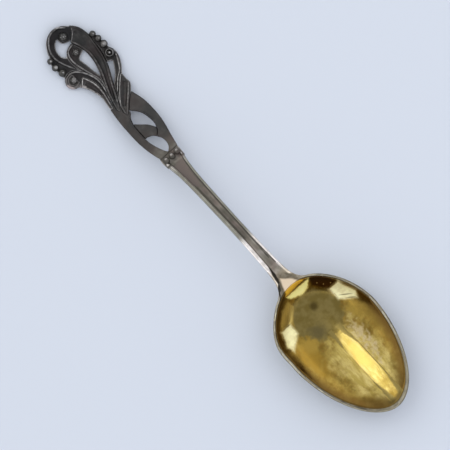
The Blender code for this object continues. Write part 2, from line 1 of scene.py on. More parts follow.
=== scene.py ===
# %% [markdown]
# # A souvenir spoon, dressed for its photograph
# The spoon lies face up on a pale table: a gilt bowl, a reeded stem and an openwork handle of
# scrolls and fluted leaves, with rows of beads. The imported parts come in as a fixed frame, in
# metres. Each cell below gives one of them its worn shape and its finish.

# %% Load the frame
import math

import bmesh
import bpy
import numpy as np
from mathutils import Matrix, Vector


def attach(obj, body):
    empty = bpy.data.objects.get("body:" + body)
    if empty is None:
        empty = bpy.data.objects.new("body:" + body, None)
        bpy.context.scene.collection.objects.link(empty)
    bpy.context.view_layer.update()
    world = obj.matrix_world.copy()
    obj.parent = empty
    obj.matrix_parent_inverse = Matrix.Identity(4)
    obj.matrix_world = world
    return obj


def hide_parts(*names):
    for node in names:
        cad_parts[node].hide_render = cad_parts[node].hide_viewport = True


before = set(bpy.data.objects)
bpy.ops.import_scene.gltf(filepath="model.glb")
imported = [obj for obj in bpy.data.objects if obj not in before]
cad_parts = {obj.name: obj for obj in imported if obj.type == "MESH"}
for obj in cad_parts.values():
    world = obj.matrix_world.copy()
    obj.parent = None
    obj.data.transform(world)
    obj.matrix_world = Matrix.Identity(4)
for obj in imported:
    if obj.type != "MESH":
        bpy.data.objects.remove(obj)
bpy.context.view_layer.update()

MM = 0.001
LENGTH = 136.5

# %% [markdown]
# ## Camera
# The photograph looks straight down on the spoon, which lies from the upper left to the lower
# right. A long lens from far off keeps the handle and the bowl at one scale, although the handle's
# end lies lower than the rim. The camera leans a little to the lower side, so the outer walls of
# the stem and the rim just show there.

# %% Camera
scene = bpy.context.scene
scene.view_settings.view_transform = "Standard"
TURN = math.radians(47.53)
LEAN = math.radians(0.5)
VIEW_WIDTH = 119.96 * MM
DISTANCE = 2.5
AIM = Vector((1.42, -1.87, 7.0)) * MM

camera = bpy.data.objects.new("camera", bpy.data.cameras.new("camera"))
scene.collection.objects.link(camera)
scene.camera = camera
camera.data.sensor_width = 36
camera.data.lens = 36 * DISTANCE / VIEW_WIDTH
camera.matrix_world = (Matrix.Translation(AIM) @ Matrix.Rotation(LEAN, 4, "X")
                       @ Matrix.Rotation(TURN, 4, "Z") @ Matrix.Translation((0, 0, DISTANCE)))
print("lens in mm:", round(camera.data.lens))

# %% [markdown]
# ## Node helper
# Every finish is a small graph of shader nodes. Writing each graph as a chain of short calls keeps
# it readable: `Graph` opens the node tree of a material or of the room, and its methods add a node
# and hand back the socket that the next call uses.

# %% Node helper
class Graph:
    """The node tree of a material or of the room, built up by calls that hand back sockets."""

    def __init__(self, owner, coordinates="Object"):
        owner.use_nodes = True
        self.owner = owner
        self.tree = owner.node_tree
        self.coordinates = self.tree.nodes.new("ShaderNodeTexCoord").outputs[coordinates]

    def node(self, kind, links=(), **settings):
        made = self.tree.nodes.new(kind)
        for key, value in settings.items():
            setattr(made, key, value)
        for socket, value in links:
            self.feed(made.inputs[socket], value)
        return made

    def feed(self, socket, value):
        if hasattr(value, "is_output"):
            self.tree.links.new(value, socket)
        elif socket.type == "RGBA":
            socket.default_value = (*value, 1.0)
        else:
            socket.default_value = value

    def noise(self, scale, detail=4.0, roughness=0.55, stretch=(1, 1, 1), turn=0.0):
        across = self.node("ShaderNodeMapping", [("Vector", self.coordinates), ("Scale", stretch),
                                                 ("Rotation", (0, 0, turn))]).outputs["Vector"]
        return self.node("ShaderNodeTexNoise", [("Vector", across), ("Scale", scale), ("Detail", detail),
                                                ("Roughness", roughness)]).outputs["Fac"]

    def ramp(self, value, low, high, out_low=0.0, out_high=1.0):
        return self.node("ShaderNodeMapRange", [("Value", value), ("From Min", low), ("From Max", high),
                                                ("To Min", out_low), ("To Max", out_high)],
                         interpolation_type="SMOOTHSTEP").outputs["Result"]

    def math(self, operation, a, b=0.0):
        return self.node("ShaderNodeMath", [(0, a), (1, b)], operation=operation).outputs["Value"]

    def mix(self, share, a, b):
        return self.node("ShaderNodeMix", [("Factor", share), (6, a), (7, b)], data_type="RGBA").outputs[2]

    def patch(self, centre, reach, turn=0.0, core=0.7, ragged=0.0, scale=300):
        """1 within a turned ellipse round a centre, fading to 0 at its edge."""
        place = self.node("ShaderNodeMapping", [("Vector", self.coordinates), ("Location", centre),
                                                ("Rotation", (0, 0, turn)), ("Scale", reach)],
                          vector_type="TEXTURE").outputs["Vector"]
        distance = self.node("ShaderNodeVectorMath", [(0, place)], operation="LENGTH").outputs["Value"]
        if ragged:
            distance = self.math("ADD", distance, self.ramp(self.noise(scale, 5), 0.2, 0.8, -ragged, ragged))
        return self.ramp(distance, core, 1.0, 1.0, 0.0)

    def facet(self, corners, soft=0.25, ragged=0.0):
        """1 within a polygon in millimetres, its corners counterclockwise, fading to 0 at its edges."""
        depth = None
        for (x, y), (x_next, y_next) in zip(corners, corners[1:] + corners[:1]):
            length = math.hypot(x_next - x, y_next - y)
            inward = ((y - y_next) / length / MM, (x_next - x) / length / MM, 0)
            along = self.node("ShaderNodeVectorMath", [(0, self.coordinates), (1, inward)],
                              operation="DOT_PRODUCT").outputs["Value"]
            side = self.math("SUBTRACT", along, (x - LENGTH / 2) * inward[0] * MM + y * inward[1] * MM)
            depth = side if depth is None else self.math("MINIMUM", depth, side)
        if ragged:
            depth = self.math("ADD", depth, self.ramp(self.noise(700, 5), 0.2, 0.8, -ragged, ragged))
        return self.ramp(depth, -soft, soft)

    def station(self):
        return self.node("ShaderNodeSeparateXYZ", [("Vector", self.coordinates)]).outputs["X"]

    def attribute(self, name):
        return self.node("ShaderNodeAttribute", attribute_name=name).outputs["Fac"]

    def bump(self, height, distance, strength=1.0, under=None):
        made = self.node("ShaderNodeBump", [("Strength", strength), ("Distance", distance),
                                            ("Height", height)])
        if under is not None:
            self.feed(made.inputs["Normal"], under)
        return made.outputs["Normal"]


def metal(graph, colour, roughness, normal):
    """Finish a metal: its colour and dullness vary, and it is metal all over."""
    shader = graph.tree.nodes["Principled BSDF"]
    shader.inputs["Metallic"].default_value = 1.0
    for key, value in (("Base Color", colour), ("Roughness", roughness), ("Normal", normal)):
        graph.feed(shader.inputs[key], value)
    return graph.owner

# %% [markdown]
# ## Aged silver of the handle
# Old silver darkens to a brown-black sulphide. Hands polish it off the raised edges and leave it in
# the hollows, so the handle reads as dark grounds with thin bright lines. Each worn mesh carries an
# attribute, `worn`, that says how much a spot stands out from what is round it; on the beads, bosses
# and grains it holds a painted highlight instead. The finish mixes a dark, rather dull tarnish with
# bright, smoother silver by that attribute, and patchy noise keeps both from looking painted. One even
# grey with a little noise would be simpler, but then the openwork would lose its drawing. The tints
# change along the spoon, so each finish is a row of stops, and a few patches with their own corners
# add what no rule gives, such as the pale end of the lower leaf, and also a painted highlight on the
# bottom of the lower scroll's ring and painted shade on the stem and the neck.

# %% Aged silver
BLACKENED = (0.012, 0.012, 0.013)
DULL, SMOOTH = 0.42, 0.25


def station_of(station):
    """Place along the frame of a station, in millimetres from the end of the handle."""
    return (station - LENGTH / 2) * MM


def at(station, side):
    return (station_of(station), side * MM, 0)


def reach(along, across):
    return (along * MM, across * MM, 1)


def aged_silver(name, stops, bare_share, stains_and_painted_light=()):
    """Silver with tarnish in its hollows.

    A stop has a station, three tints of tarnish and two of bare silver, and the finish blends from
    one stop to the next. Stains, painted highlights and painted shade are each given by corners, the
    softness of an edge and one tint.
    """
    graph = Graph(bpy.data.materials.new(name))
    patches = graph.noise(420, 5)
    tints = graph.ramp(graph.noise(190, 3), 0.4, 0.6)
    fleck, gloss = graph.ramp(patches, 0.45, 0.75), graph.ramp(patches, 0.35, 0.65)
    dark = shiny = last = None
    for station, (a, b, c), bright in stops:
        tarnish = graph.mix(fleck, graph.mix(tints, a, b), c)
        silver = graph.mix(gloss, *bright)
        if last is not None:
            share = graph.ramp(graph.station(), station_of(last), station_of(station))
            tarnish, silver = graph.mix(share, dark, tarnish), graph.mix(share, shiny, silver)
        dark, shiny, last = tarnish, silver, station
    deep = graph.math("MAXIMUM", graph.attribute("sunk"), graph.attribute("ground"))
    dark = graph.mix(graph.math("MULTIPLY", deep, 0.8), dark, BLACKENED)
    # Stains, painted highlights and painted shade, laid over the tarnish and the bright silver alike.
    for corners, soft, colour in stains_and_painted_light:
        mark_mask = graph.facet(corners, soft, 0.1)
        dark, shiny = graph.mix(mark_mask, dark, colour), graph.mix(mark_mask, shiny, colour)
    uneven = graph.ramp(graph.noise(900, 4), 0.25, 0.6, 0.55, 1.0)
    rub = graph.math("MULTIPLY", graph.attribute("worn"), uneven)
    rub = graph.math("MAXIMUM", rub, graph.ramp(patches, 0.3, 0.8, 0.0, bare_share))
    grain = graph.bump(graph.noise(2600, 5, 0.65), 0.02 * MM, 0.6)
    return metal(graph, graph.mix(rub, dark, shiny), graph.ramp(rub, 0.0, 0.8, DULL, SMOOTH), grain)


SCROLL_STOP = (((0.032, 0.032, 0.031), (0.040, 0.034, 0.033), (0.058, 0.055, 0.052)),
               ((0.62, 0.60, 0.58), (0.32, 0.31, 0.30)))
STRAP_STOP = (((0.041, 0.041, 0.040), (0.048, 0.043, 0.041), (0.063, 0.059, 0.056)),
              ((0.38, 0.36, 0.34), (0.24, 0.23, 0.22)))
COLLAR_STOP = (((0.083, 0.077, 0.065), (0.092, 0.074, 0.066), (0.13, 0.12, 0.105)),
               ((0.50, 0.47, 0.44), (0.32, 0.30, 0.28)))
# Handle patches: a lighter ring and a darker ground inside it on the lower scroll, a painted highlight on
# the ring's bottom, and the pale end of the lower leaf.
PALE_TIPS_AND_GLINT = [([(11.5, -4.8), (11.8, -6.9), (13.0, -8.1), (14.9, -8.1), (16.2, -6.7), (16.2, -4.9)],
              0.15, (0.13, 0.122, 0.118)),
             ([(12.6, -5.0), (12.8, -6.3), (13.6, -6.9), (14.4, -6.9), (15.1, -6.2), (15.2, -5.0)],
              0.15, (0.035, 0.034, 0.033)),
             # Painted highlight on the bottom of the lower scroll's ring.
             ([(13.6, -8.1), (15.9, -7.7), (15.9, -6.8), (13.8, -7.2)], 0.2, (0.36, 0.31, 0.30)),
             ([(16.4, -5.5), (18.0, -4.7), (17.4, -4.2), (16.2, -4.8)], 0.2, (0.30, 0.28, 0.27))]
DARK_SILVER = aged_silver("dark_silver", ((24, *SCROLL_STOP), (29, *STRAP_STOP), (40, *STRAP_STOP),
                                          (45, *COLLAR_STOP)), 0.04, PALE_TIPS_AND_GLINT)
BEAD_STOP = (((0.060, 0.060, 0.056), (0.074, 0.070, 0.065), (0.105, 0.101, 0.094)),
             ((0.48, 0.47, 0.46), (0.30, 0.29, 0.28)))
BEAD_SILVER = aged_silver("bead_silver", ((12, *BEAD_STOP), (46, *COLLAR_STOP)), 0.06)
print("finishes:", DARK_SILVER.name, BEAD_SILVER.name)

# %% [markdown]
# ## Wear
# A raised spot can be found without paint: where a point lies further out than the average of its
# neighbours, the metal stands proud. `relax` moves every point towards that average, and the
# distance between a point and its relaxed place, measured along its normal, is how proud it is.
# A few rounds find the fine edges and many find the broad ridges. Close to the collar's two seams
# every edge would count as proud, though hands never reach it, so nothing is marked there.

# %% Wear
def relax(points, edges, rounds, share=0.5):
    """Points moved toward the average of their neighbours."""
    count = np.bincount(edges.ravel(), minlength=len(points))[:, None]
    moved = points.copy()
    for _ in range(rounds):
        total = np.empty_like(moved)
        for axis in range(3):
            total[:, axis] = (np.bincount(edges[:, 0], moved[edges[:, 1], axis], len(moved))
                              + np.bincount(edges[:, 1], moved[edges[:, 0], axis], len(moved)))
        moved += (total / np.maximum(count, 1) - moved) * share
    return moved


def mesh_points(mesh):
    points = np.empty(len(mesh.vertices) * 3)
    mesh.vertices.foreach_get("co", points)
    edges = np.empty(len(mesh.edges) * 2, dtype=np.int32)
    mesh.edges.foreach_get("vertices", edges)
    return points.reshape(-1, 3), edges.reshape(-1, 2)


def mesh_normals(mesh):
    normals = np.empty(len(mesh.vertices) * 3)
    mesh.vertices.foreach_get("normal", normals)
    return normals.reshape(-1, 3)


def write_attribute(mesh, name, value):
    layer = mesh.attributes.new(name, "FLOAT", "POINT")
    layer.data.foreach_set("value", np.clip(value, 0, 1).astype(np.float32))


SEAMS = (45.2, 48.15)


def mark_wear(mesh, rounds, full, threshold=0.0, calm=None):
    """Attributes worn and sunk: how far a spot stands out of its surroundings, or lies below them.

    A spot that is `full` metres proud is fully worn. Above the line `calm` wear is held back.
    """
    points, edges = mesh_points(mesh)
    proud = np.sum((points - relax(points, edges, rounds)) * mesh_normals(mesh), axis=1) / full
    station, side = points[:, 0] / MM + LENGTH / 2, points[:, 1] / MM
    to_seam = np.min([np.abs(station - seam) for seam in SEAMS], axis=0)
    proud *= np.clip(to_seam / 0.5 - 0.3, 0, 1)
    worn = np.clip((proud - threshold) / (1 - threshold), 0, 1)
    if calm is not None:
        near = np.clip((side - np.interp(station, *zip(*calm)) + 0.8) / 0.3, 0, 1)
        worn *= 1 - 0.85 * near * np.clip((calm[-1][0] - station) / 2, 0, 1)
    write_attribute(mesh, "worn", worn)
    write_attribute(mesh, "sunk", -proud)
    return float(worn.mean())


def paint_crown_highlight(mesh, narrow, lean=(0.1, 0.22, 0.97)):
    """Attribute worn as a painted highlight: bright where a dome's normal faces the lean, near its crown."""
    worn = (mesh_normals(mesh) @ lean - narrow) / (1 - narrow)
    write_attribute(mesh, "worn", np.clip(worn, 0, 1) ** 1.5)

# %% [markdown]
# ## Plates of the openwork
# On the real spoon the scrolls and leaves are struck and chased, so every edge is a little round and
# every wire flows into its ground. Modelling that by hand would take weeks. Instead each plate of
# the frame is copied, rebuilt as a fine even skin by a voxel remesh, and relaxed for a few rounds,
# which rounds it as years of handling do. The pieces of the frame stand 0.1 mm apart, and solder
# fills that on the real spoon, so each skin is pushed out by half of it. The copy then takes the
# place of its node.

# %% Plates of the openwork
PLATE_VOXEL = 0.1 * MM
SEAM_FILL = 0.055 * MM


def worn_copy(node, voxel, rounds):
    """Copy of a node with an even skin and softened edges."""
    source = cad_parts[node]
    piece = bpy.data.objects.new(node + "_worn", source.data.copy())
    scene.collection.objects.link(piece)
    skin = piece.modifiers.new("skin", "REMESH")
    skin.mode = "VOXEL"
    skin.voxel_size = voxel
    bpy.context.view_layer.update()
    mesh = bpy.data.meshes.new_from_object(piece.evaluated_get(bpy.context.evaluated_depsgraph_get()))
    piece.modifiers.clear()
    piece.data = mesh
    mesh.vertices.foreach_set("co", relax(*mesh_points(mesh), rounds).ravel())
    mesh.update()
    mesh.vertices.foreach_set("co", (mesh_points(mesh)[0] + SEAM_FILL * mesh_normals(mesh)).ravel())
    mesh.shade_smooth()
    return piece


def dress(piece, node, material):
    piece.data.materials.clear()
    piece.data.materials.append(material)
    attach(piece, "root")
    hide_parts(node)


COLLAR_STRETCH = 1.35
COLLAR_SWELL = ([0, 0.6, 1], [0.3, 0.2, 0.08])


def lift_collar(mesh):
    """The collar closes the seams at both ends, and its top swells up between the grains."""
    points, _ = mesh_points(mesh)
    middle = (points.max(axis=0) + points.min(axis=0)) / 2
    points[:, 0] = middle[0] + (points[:, 0] - middle[0]) * COLLAR_STRETCH
    out = (points[:, 0] - middle[0]) / (np.ptp(points[:, 0]) / 2)
    rise = np.clip((points[:, 2] - middle[2]) / (0.3 * MM), 0, 1)
    points[:, 2] += rise * np.interp(np.abs(out), *COLLAR_SWELL) * MM
    mesh.vertices.foreach_set("co", points.ravel())
    mesh.update()


PLATES = ["main_leaf", "side_leaf", "lower_leaf", "outer_scroll", "inner_scroll", "lower_scroll",
          "border_strap", "upper_strap", "lower_strap", "cross_leaf", "collar"]
SUNK = {"outer_scroll": 0.9, "lower_scroll": 0.85, "border_strap": 0.65, "inner_scroll": 0.3}
RUBBED = {"main_leaf": 0.065, "upper_strap": 0.13, "lower_strap": 0.13, "cross_leaf": 0.13,
          "side_leaf": 0.055}
EDGE_RUB, EDGE_ROUNDS, EDGE_FAINT = 0.042, 6, 0.25
LEAF_TOP = ((2.7, 3.6), (3.4, 4.15), (4.7, 4.9), (7.3, 5.4), (10, 5.15), (14, 4.6), (17, 3.55), (19, 2.55))
for node in PLATES:
    piece = worn_copy(node, PLATE_VOXEL, 3)
    if node == "collar":
        lift_collar(piece.data)
    worn = mark_wear(piece.data, EDGE_ROUNDS, RUBBED.get(node, EDGE_RUB) * MM, EDGE_FAINT,
                     LEAF_TOP if node == "main_leaf" else None)
    write_attribute(piece.data, "ground", np.full(len(piece.data.vertices), SUNK.get(node, 0.0)))
    dress(piece, node, DARK_SILVER)
    print(node, len(piece.data.vertices), "points, worn share", round(worn, 2))

# %% [markdown]
# ## Beads, bosses and grains
# The beads are small cast domes and the three bosses end the scrolls. They could be spheres set into
# the plate, but the real ones are worn flat on top and run into their ground, so they take the same
# worn skin as the plates, on a finer voxel. Each dome gets a painted highlight: it is bright where its
# normal faces a little to one side of straight up, and each bead has its own share of it, as in the
# photograph. The bosses get a few petals and a ring, pressed down from their own points.

# %% Beads, bosses and grains
GRAINS = ([f"upper_bead_{n}" for n in range(1, 5)] + [f"lower_bead_{n}" for n in range(1, 4)]
          + [f"collar_grain_{n}" for n in range(1, 4)] + ["outer_boss", "inner_boss", "lower_boss"])
ROSETTES = {"outer_boss": 6, "inner_boss": 5, "lower_boss": 4}


def cut_petals(mesh, count, depth):
    """Petals round a boss: notches between them, and a ring round the middle."""
    points, _ = mesh_points(mesh)
    middle = (points.max(axis=0) + points.min(axis=0)) / 2
    across = points[:, :2] - middle[:2]
    out = np.hypot(across[:, 0], across[:, 1]) / (np.ptp(points[:, 0]) / 2)
    angle = np.arctan2(across[:, 1], across[:, 0])
    notch = (1 - np.abs(np.cos(count * angle / 2))) ** 2 * np.clip((out - 0.25) / 0.2, 0, 1)
    ring = np.exp(-((out - 0.38) / 0.1) ** 2)
    top = np.clip((points[:, 2] - middle[2]) / (0.2 * MM), 0, 1)
    points[:, 2] -= depth * top * np.maximum(notch, 0.7 * ring)
    mesh.vertices.foreach_set("co", points.ravel())
    mesh.update()


CROWN_HIGHLIGHTS = {"upper_bead_1": 0.95, "upper_bead_2": 0.97, "upper_bead_3": 0.8, "upper_bead_4": 0.72,
          "lower_bead_1": 0.9, "lower_bead_2": 0.8, "lower_bead_3": 0.97,
          "outer_boss": 0.93, "inner_boss": 0.8, "lower_boss": 0.4}
GRAIN_VOXEL, PETAL_DEPTH = 0.06 * MM, 0.28 * MM
for node in GRAINS:
    piece = worn_copy(node, GRAIN_VOXEL, 2)
    if node in ROSETTES:
        cut_petals(piece.data, ROSETTES[node], PETAL_DEPTH)
    # Painted highlight: on the grains it leans toward the end of the handle, on the beads a little to the
    # upper side.
    if node.startswith("collar"):
        paint_crown_highlight(piece.data, 0.8, (-0.6, 0.15, 0.78))
    else:
        paint_crown_highlight(piece.data, CROWN_HIGHLIGHTS[node])
    dress(piece, node, BEAD_SILVER)
print(len(GRAINS), "grains")

# %% [markdown]
# ## Lines and places
# The stem and the bowl are smooth, so they are drawn by formula instead of copied: a curve through
# a few points gives each width and level, and many close sections follow it. Stations are
# millimetres from the end of the handle, sides are across the spoon, and heights are above the
# table. A curve through its points is a Catmull-Rom spline.

# %% Lines and places
def smooth(points, steps=12):
    """Fine line through points, a row per point."""
    pts = np.array(points, dtype=float)
    ends = np.vstack([2 * pts[0] - pts[1], pts, 2 * pts[-1] - pts[-2]])
    t = np.linspace(0, 1, steps, endpoint=False)[:, None]
    line = [0.5 * (2 * b + (c - a) * t + (2 * a - 5 * b + 4 * c - d) * t ** 2
                   + (3 * b - a - 3 * c + d) * t ** 3)
            for a, b, c, d in zip(ends, ends[1:], ends[2:], ends[3:])]
    return np.vstack(line + [pts[-1:]])


def read(line, station):
    return np.interp(station, line[:, 0], line[:, 1])


def spot(station, side, height):
    """Points of the frame, in metres, for stations, sides and heights in millimetres."""
    station, side, height = np.broadcast_arrays(station, side, height)
    return np.stack([station - LENGTH / 2, side, height], axis=-1) * MM


SHARP = math.radians(50)


def skin(name, rings):
    """Closed mesh over rings of points, with a fan at both ends."""
    rings = np.asarray(rings)
    rows, count = rings.shape[:2]
    corner = np.arange(rows * count).reshape(rows, count)
    here, there = corner[:-1], corner[1:]
    quads = np.stack([here, np.roll(here, -1, 1), np.roll(there, -1, 1), there], axis=-1).reshape(-1, 4)
    points = np.vstack([rings.reshape(-1, 3), rings[0].mean(axis=0), rings[-1].mean(axis=0)])
    first, last = rows * count, rows * count + 1
    fans = [(first, int(b), int(a)) for a, b in zip(corner[0], np.roll(corner[0], -1))]
    fans += [(last, int(a), int(b)) for a, b in zip(corner[-1], np.roll(corner[-1], -1))]
    mesh = bpy.data.meshes.new(name)
    mesh.from_pydata(points.tolist(), [], quads.tolist() + fans)
    bm = bmesh.new()
    bm.from_mesh(mesh)
    bmesh.ops.recalc_face_normals(bm, faces=bm.faces)
    bm.to_mesh(mesh)
    bm.free()
    mesh.shade_smooth()
    mesh.set_sharp_from_angle(angle=SHARP)
    piece = bpy.data.objects.new(name, mesh)
    scene.collection.objects.link(piece)
    return piece

# %% [markdown]
# ## Stem
# The stem is a bar with a round thread along each edge and a sunk panel between them. The lower
# thread is the broader one, so the panel sits a little to the upper side. It could be a curve with a
# bevel profile, but its width and height both change along it, so each section is worked out from
# the width at its station. `ARC` is the line that the whole handle follows, seen from the side. At
# its ends the stem runs on under the collar and the neck, so no seam shows.

# %% Stem
STEM_START, STEM_END = 48.2, 86.0
STEM_OVERLAP = (1.1, 0.95)
HEEL = 92.6
TOP_RISE, STEM_THICK = 0.5, 1.7
UPPER_THREAD, LOWER_THREAD = 0.75, 1.25
STEM_STEP, STEM_ROUNDS, STEM_RUB = 0.15, 16, 0.025
ARC = smooth([(-3, 2.8), (0, 2.1), (7, 0.9), (18, 1.3), (32, 3.0), (45.3, 5.5), (59.95, 8.5), (72.16, 10.4),
              (79.9, 10.9), (86.0, 10.4), (92.6, 8.5)])
STEM_WIDTHS = smooth([(48.1, 2.85), (50.18, 2.5), (53.03, 2.2), (57.92, 2.0), (69.72, 1.85), (77.86, 1.9),
                      (83.15, 2.05), (86.0, 2.15)])


def crown(half):
    """Top of the stem across, from its lower edge to its upper edge: thread, panel, thread."""
    up, low = half - UPPER_THREAD, LOWER_THREAD - half
    return [(-half, -0.35), (0.1 - half, 0.02), (low - 0.8, 0.29), (low - 0.5, 0.36), (low - 0.22, 0.26),
            (low, 0.03), (low + 0.25, -0.02), (0.5 * (up + low), -0.06), (up - 0.25, -0.02), (up, 0.03),
            (up + 0.16, 0.24), (up + 0.36, 0.36), (up + 0.56, 0.26), (half - 0.04, 0.02), (half, -0.3)]


def belly(half):
    """Round back of the stem, from its upper edge to its lower edge."""
    round_back = [(share * half, lift - STEM_THICK) for share, lift in
                  ((0.8, 0.25), (0.4, 0.05), (0, 0), (-0.4, 0.05), (-0.8, 0.25))]
    return [(half - 0.08, -0.65)] + round_back + [(0.08 - half, -0.65)]


def stem_section(station):
    half = read(STEM_WIDTHS, station)
    line = smooth(crown(half) + belly(half), 4)
    dive = 0.4 * max(0.0, STEM_START - station) + 0.2 * max(0.0, station - STEM_END - 0.4)
    return spot(station, line[:, 0], read(ARC, station) + TOP_RISE + line[:, 1] - dive)


stations = np.arange(STEM_START - STEM_OVERLAP[0], STEM_END + STEM_OVERLAP[1], STEM_STEP)
stem = skin("worn_stem", [stem_section(station) for station in stations])
worn = mark_wear(stem.data, STEM_ROUNDS, STEM_RUB * MM)
print("stem:", len(stem.data.vertices), "points, worn share", round(worn, 2))

# %% [markdown]
# ## Silver of the stem
# Near the collar the silver is dull, brown and a little green; from the middle on the threads are
# rubbed bright, and toward the bowl they yellow. From station 74 on the stem also gets lighter tints,
# a painted highlight where its arch faces the light. A brown patch lies on the panel near the collar,
# a darker line runs beside the upper thread, and painted shade darkens the inner side of the lower
# thread. A painted shadow band follows the lower edge over the join, so the neck of the bowl shares
# these tints. A texture could be painted by hand, but stops and corners can be read, changed and used
# again.

# %% Silver of the stem
GRIP_STOP = (((0.105, 0.100, 0.080), (0.170, 0.140, 0.122), (0.25, 0.225, 0.19)),
             ((0.29, 0.285, 0.235), (0.195, 0.192, 0.155)))
# Lighter tints from the middle on: rubbed threads, and a painted highlight where the arch faces the light.
RUBBED_AND_LIT_STOP = (((0.23, 0.21, 0.165), (0.26, 0.215, 0.18), (0.35, 0.315, 0.28)),
              ((1.0, 0.95, 0.90), (0.92, 0.86, 0.79)))
NECK_STOP = (((0.085, 0.072, 0.040), (0.115, 0.090, 0.052), (0.17, 0.14, 0.09)),
             ((0.88, 0.79, 0.66), (0.52, 0.45, 0.34)))
SHINE_TO_NECK = ((86, *RUBBED_AND_LIT_STOP), (89.5, *NECK_STOP))
# Painted shadow: a dark band along the lower edge of the stem and the neck.
PAINTED_SHADE_TINT = (0.030, 0.027, 0.020)
PAINTED_SHADOW_BAND = [([(85.2, -0.9), (86.5, -1.35), (88.6, -1.75), (90.8, -2.35), (91.0, -1.5), (88.6, -0.85),
               (86.5, -0.75)], 0.15, PAINTED_SHADE_TINT),
             ([(90.2, -1.4), (90.3, -2.2), (91.8, -3.1), (93.9, -5.3), (94.5, -4.6), (92.6, -2.6)],
              0.15, PAINTED_SHADE_TINT)]
PANEL_TINTS_AND_SHADE = [([(49, -1.5), (56, -1.2), (58, 0.0), (56, 1.2), (49, 1.6)], 0.5, (0.115, 0.096, 0.086)),
                # Painted shade on the inner side of the lower thread.
                ([(57, -0.95), (76, -0.65), (76, -0.1), (57, -0.35)], 0.2, (0.075, 0.070, 0.056)),
                ([(52, 1.25), (52, 1.0), (84, 0.75), (84, 1.0)], 0.1, (0.075, 0.068, 0.058))]
STEM_STOPS = ((46, *COLLAR_STOP), (52, *GRIP_STOP), (74, *GRIP_STOP), (78, *RUBBED_AND_LIT_STOP), *SHINE_TO_NECK)
STEM_SILVER = aged_silver("stem_silver", STEM_STOPS, 0.1, PANEL_TINTS_AND_SHADE + PAINTED_SHADOW_BAND[:1])
dress(stem, "stem", STEM_SILVER)
print("stem's stops:", [stop[0] for stop in STEM_STOPS])

# %% [markdown]
# ## Outline of the bowl
# Seen from above the bowl is an egg, fuller at its heel on the lower side, that runs into the neck.
# It could be traced point by point, but then its curve would show every slip of the hand. Two halves
# of a superellipse give it with a few sizes, and a short curve draws the neck. Every place of the
# bowl is then found by going out from its deepest point, the pole, in one of many directions.

# %% Outline of the bowl
CENTRE, POLE = 111.0, 104.0
HALF_WIDTH, TIP_REACH, HEEL_REACH = 14.25, 25.5, 18.4
SWELL, SWELL_BACK, SWELL_REACH = 1.2, 9.0, 8.5
SEAM = 0.1
STEM_HALF = 1.85
NECK = smooth([(STEM_END + SEAM, STEM_HALF + 0.3), (STEM_END + 2, STEM_HALF + 0.4),
               (HEEL - 2.6, STEM_HALF + 0.6), (HEEL - 1.6, STEM_HALF + 0.9), (HEEL - 0.6, STEM_HALF + 1.3),
               (HEEL + 0.4, STEM_HALF + 2.0), (HEEL + 1.4, 0.35 * HALF_WIDTH)], 8)


def egg(angle, inset):
    """Points of the egg-shaped rim, moved in by an inset. The lower side bulges toward the heel."""
    c, s = np.cos(angle), np.sin(angle)
    front = c > 0
    reach = np.where(front, TIP_REACH, HEEL_REACH)
    m, n = np.where(front, 1.8, 1.75), np.where(front, 1.9, 2.0)
    station = CENTRE + np.sign(c) * (reach - inset) * np.abs(c) ** (2 / m)
    off = (station - CENTRE + SWELL_BACK) / SWELL_REACH
    swell = np.where(s < 0, SWELL * np.maximum(0, 1 - off ** 2) ** 2, 0)
    return station, np.sign(s) * (HALF_WIDTH - inset) * np.abs(s) ** (2 / n) - swell


def egg_reach(directions, inset):
    """Distance from the pole to the rim in each direction."""
    station, side = egg(np.linspace(-math.pi, math.pi, 1440, endpoint=False), inset)
    angle, distance = np.arctan2(side, station - POLE), np.hypot(station - POLE, side)
    return np.interp(directions, angle, distance, period=2 * math.pi)


def rim_line(sign):
    """Outline of the bowl on one side, from the tip to the neck."""
    station, side = egg(sign * np.linspace(0, math.pi, 240), 0)
    keep = station > NECK[-1, 0] + 0.3
    return np.stack([station[keep], side[keep]], axis=1)


def half_outline(sign):
    """The rim on one side, the neck, and half of the end where the stem joins."""
    end_face = [(STEM_END + SEAM, sign * NECK[0, 1] * share) for share in np.linspace(0.94, 0, 14)]
    return np.vstack([rim_line(sign), NECK[::-1] * (1, sign), end_face])


OUTLINE = np.vstack([half_outline(1), half_outline(-1)[-2:0:-1]])
DIRECTIONS = np.arctan2(OUTLINE[:, 1], OUTLINE[:, 0] - POLE)
OUTLINE_REACH = np.hypot(OUTLINE[:, 0] - POLE, OUTLINE[:, 1])
UPPER_HALF, LOWER_HALF = [np.vstack([NECK, np.abs(rim_line(sign))[::-1]]) for sign in (1, -1)]


def half_width(station, side):
    return np.where(side < 0, read(LOWER_HALF, station), read(UPPER_HALF, station))


print("bowl in mm:", np.round(np.ptp(OUTLINE, axis=0), 1), "in", len(DIRECTIONS), "directions")

# %% [markdown]
# ## Heights of the bowl
# The rim lies level from the middle to the tip and rises toward the neck. On top, the crown of the
# stem fades into a flat tab and two sloping shoulders. Below, the dish and the round back of the
# neck meet in a soft fillet. All of it is formula, so that no height has to be typed twice.

# %% Heights of the bowl
RIM, RIM_EDGE, RIM_LEVEL = 0.55, 0.25, 7.8
DEPTH, FULLNESS = 6.9, 2.3
FOOT, FOOT_WEAR = 0.17, 0.02
FADE, FILLET, WALL = 3.2, 1.2, 0.35


def rim_level(station):
    off = station - POLE
    return RIM_LEVEL + np.where(off < 0, 0.0062, 0.0006) * off ** 2


